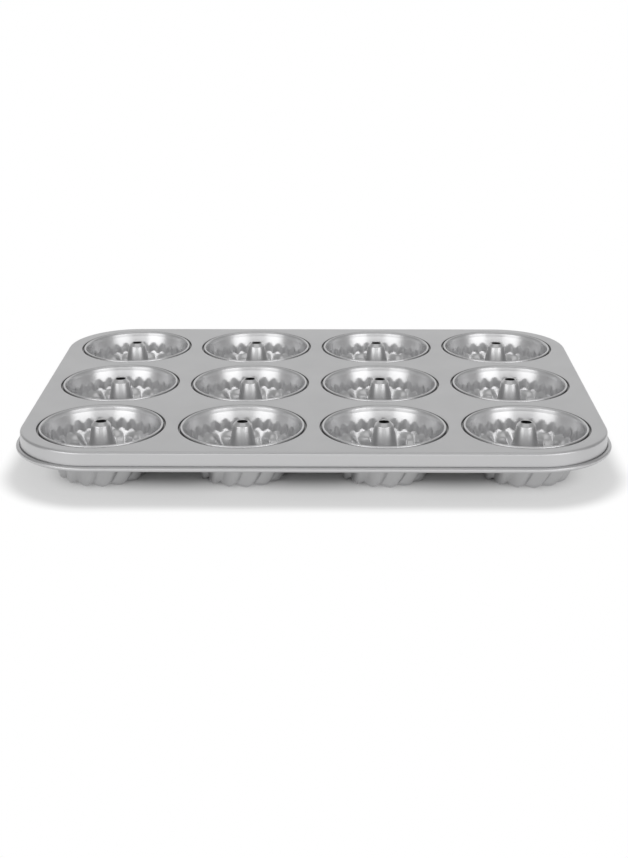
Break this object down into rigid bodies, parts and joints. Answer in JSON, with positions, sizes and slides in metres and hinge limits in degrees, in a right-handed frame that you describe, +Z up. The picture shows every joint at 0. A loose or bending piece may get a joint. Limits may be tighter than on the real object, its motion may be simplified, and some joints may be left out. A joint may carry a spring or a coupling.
{
  "type": "mini fluted tube pan",
  "caption": "Baking tray with rounded corners and a rolled rim, carrying rows of small swirl-fluted ring cake moulds, each with a pierced centre tube.",
  "frame": {"origin": "middle of the pan, on the level of the cup bottoms that it stands on", "axes": "+X along the longer side, +Y towards the back row, +Z up out of the cups"},
  "size_m": [0.3488, 0.2584, 0.0324],
  "materials": {
    "coated_steel": "satin silver release coating on steel sheet",
    "wire_steel": "plain drawn wire"
  },
  "bodies": {
    "root": {"tray": "coated_steel", "rim_wire": "wire_steel", "cup_row1_col1": "coated_steel", "cup_row1_col2": "coated_steel", "cup_row1_col3": "coated_steel", "cup_row1_col4": "coated_steel", "cup_row2_col1": "coated_steel", "cup_row2_col2": "coated_steel", "cup_row2_col3": "coated_steel", "cup_row2_col4": "coated_steel", "cup_row3_col1": "coated_steel", "cup_row3_col2": "coated_steel", "cup_row3_col3": "coated_steel", "cup_row3_col4": "coated_steel"}
  },
  "joints": []
}
